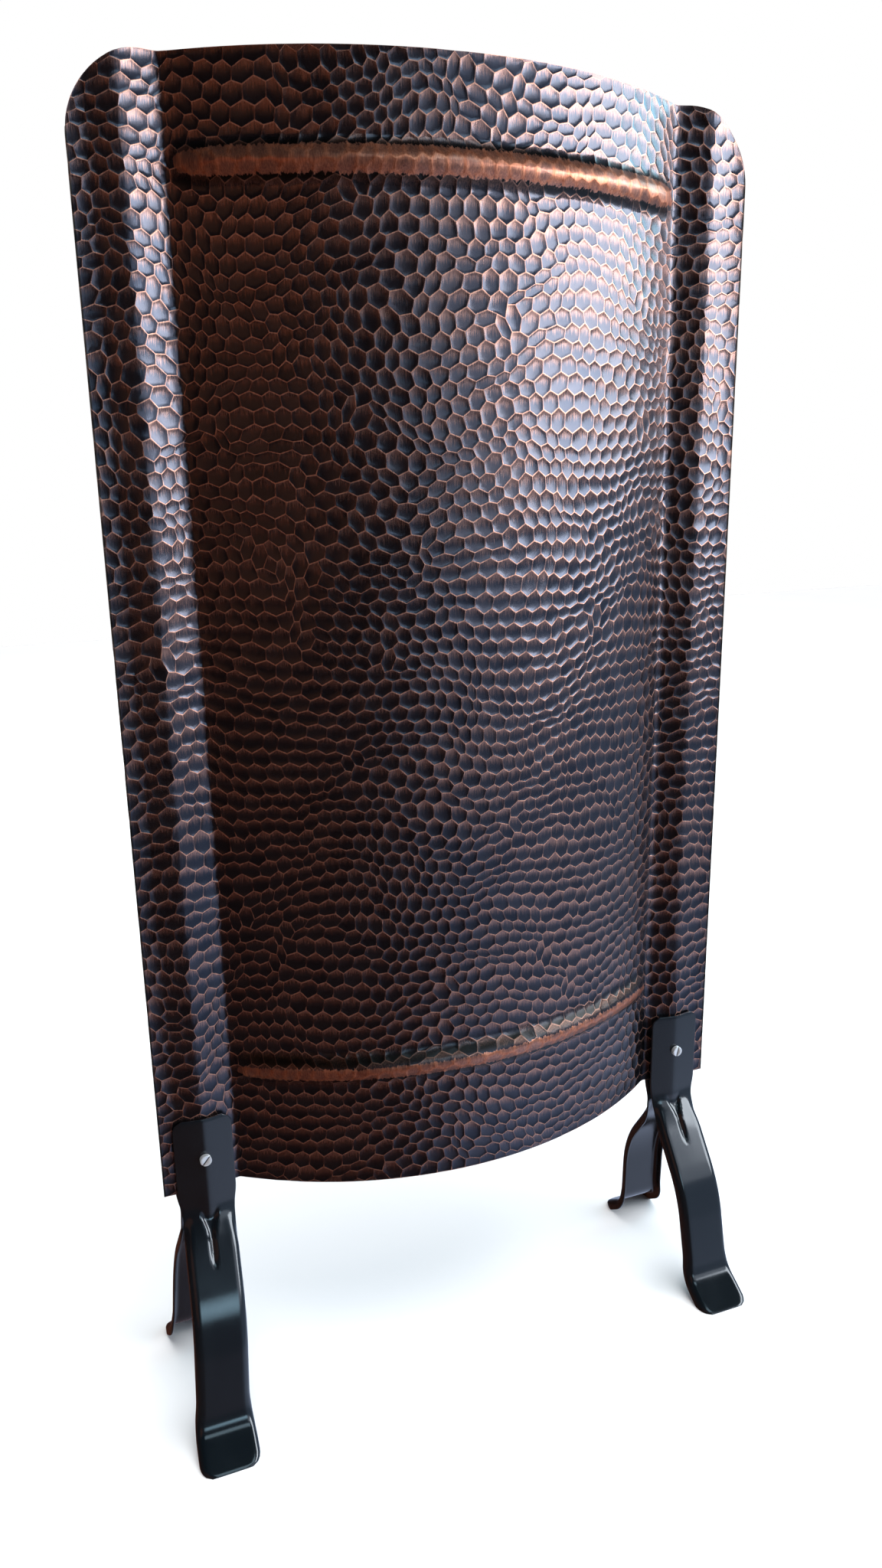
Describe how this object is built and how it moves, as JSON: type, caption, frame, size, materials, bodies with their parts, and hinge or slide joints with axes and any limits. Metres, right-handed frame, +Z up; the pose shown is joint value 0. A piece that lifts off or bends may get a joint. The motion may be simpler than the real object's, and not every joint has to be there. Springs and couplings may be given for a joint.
{
  "type": "fireplace screen",
  "caption": "Free-standing bowed fireplace screen: hammered copper-finish sheet panel with side ribs and cross beads, clamped between pressed black steel legs.",
  "frame": {"origin": "on the floor, under the middle of the object", "axes": "+Z up along the panel's height, -Y towards the front that faces the room, +X across the panel to the viewer's right"},
  "size_m": [0.4676, 0.1732, 0.93],
  "materials": {
    "hammered_copper": "hammered sheet steel, dark slate-brown patina in the dimples, brushed copper on the raised ridges and beads",
    "black_enamel": "satin to semi-gloss black enamel on pressed steel",
    "zinc_plate": "bright zinc-plated fasteners"
  },
  "bodies": {
    "root": {"screen_panel": "hammered_copper", "front_leg_left": "black_enamel", "front_leg_right": "black_enamel", "rear_leg_left": "black_enamel", "rear_leg_right": "black_enamel", "clamp_screw_left": "zinc_plate", "clamp_screw_right": "zinc_plate", "clamp_washer_left": "zinc_plate", "clamp_washer_right": "zinc_plate", "clamp_nut_left": "zinc_plate", "clamp_nut_right": "zinc_plate"}
  },
  "joints": []
}
